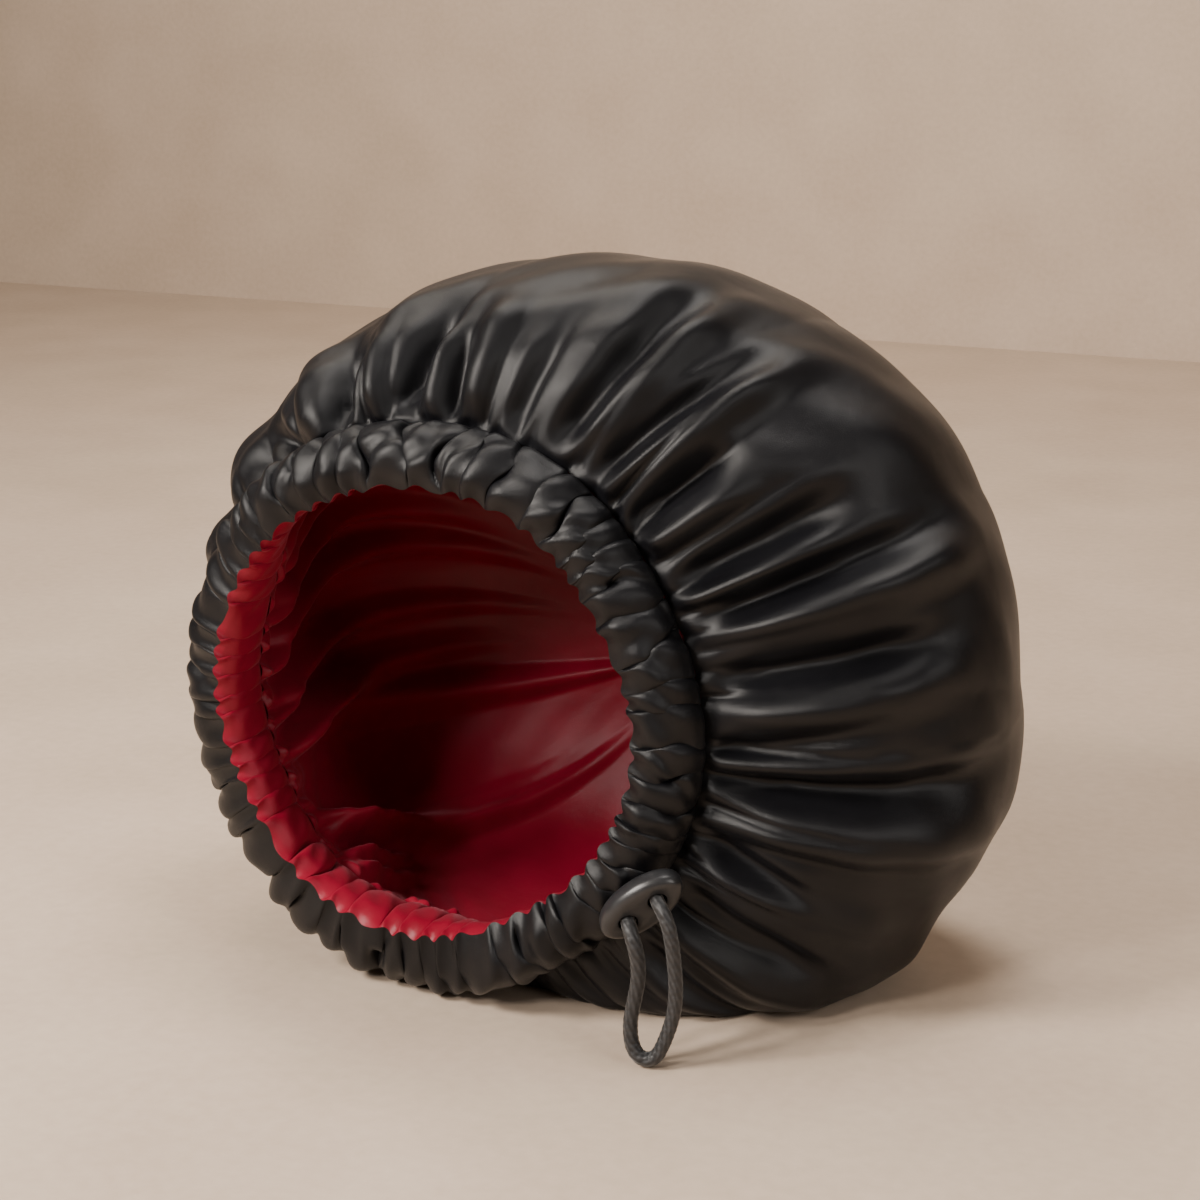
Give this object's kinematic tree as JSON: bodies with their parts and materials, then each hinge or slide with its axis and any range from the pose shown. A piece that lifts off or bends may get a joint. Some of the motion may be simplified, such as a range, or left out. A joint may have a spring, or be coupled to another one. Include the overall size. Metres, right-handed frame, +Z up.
{
  "type": "sleep bonnet",
  "caption": "Full gathered satin sleep bonnet with a contrasting lining, a ruched elastic face band and a drawcord loop with a flat stopper.",
  "frame": {"origin": "middle of the bonnet's box on the surface it rests on", "axes": "+Z up; the face opening looks towards -Y and the crown lies behind it along +Y; +X to the right as the opening is faced, the side the crown spreads to"},
  "size_m": [0.3387, 0.2072, 0.2812],
  "materials": {
    "black_satin": "black polyester satin, soft sheen, fine grain",
    "wine_satin": "wine red satin, bright sheen on its folds",
    "charcoal_plastic": "moulded charcoal plastic, satin",
    "grey_plastic": "moulded grey plastic, matt",
    "black_braid": "flat-woven black cord with stitched edges"
  },
  "bodies": {
    "root": {"crown_shell": "black_satin", "crown_lining": "wine_satin", "band_casing": "black_satin", "band_facing": "wine_satin", "cord_stopper": "charcoal_plastic", "stopper_tab": "grey_plastic", "cord_loop": "black_braid"}
  },
  "joints": []
}
